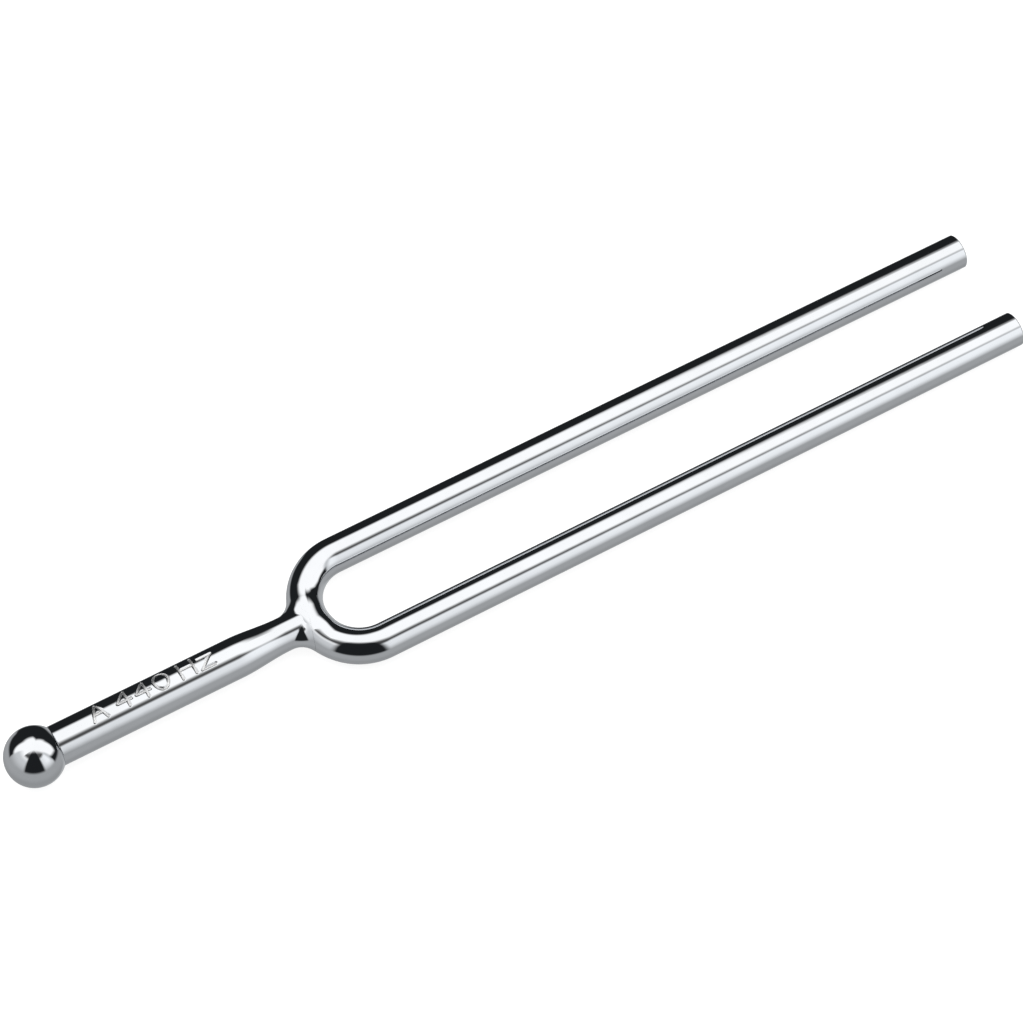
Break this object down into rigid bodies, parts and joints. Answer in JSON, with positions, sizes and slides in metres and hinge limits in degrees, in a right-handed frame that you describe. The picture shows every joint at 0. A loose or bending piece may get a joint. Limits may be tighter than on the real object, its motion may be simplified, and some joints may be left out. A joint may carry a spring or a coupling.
{
  "type": "tuning fork",
  "caption": "Two-pronged tuning fork of polished round metal bar, with a U-shaped bend, a slim turned stem and a ball foot.",
  "frame": {"origin": "the outermost point of the ball foot, on the fork's axis, where the foot touches a table or a sound board", "axes": "+X along the stem from the foot towards the prong tips, the two prongs side by side in the XY plane with the left prong on the +Y side, +Z square to that plane on the side with the pitch mark"},
  "size_m": [0.124, 0.0158, 0.0066],
  "materials": {
    "nickel_plate": "bright polished nickel plate on steel"
  },
  "bodies": {
    "handle": {"ball_foot": "nickel_plate", "stem": "nickel_plate", "stem_weld": "nickel_plate", "yoke": "nickel_plate"},
    "left_prong": {"left_prong": "nickel_plate"},
    "right_prong": {"right_prong": "nickel_plate"}
  },
  "joints": [
    {"name": "left_prong_flex", "type": "hinge", "parent": "handle", "child": "left_prong", "pos_m": [0.0426, 0.0059, 0], "axis": [0, 0, 1], "range_deg": [-0.5, 0.5], "stiffness_Nm_per_rad": 135},
    {"name": "right_prong_flex", "type": "hinge", "parent": "handle", "child": "right_prong", "pos_m": [0.0426, -0.0059, 0], "axis": [0, 0, 1], "range_deg": [-0.5, 0.5], "stiffness_Nm_per_rad": 135}
  ],
  "couplings": [
    {"joint": "right_prong_flex", "follows": "left_prong_flex", "ratio": -1}
  ]
}
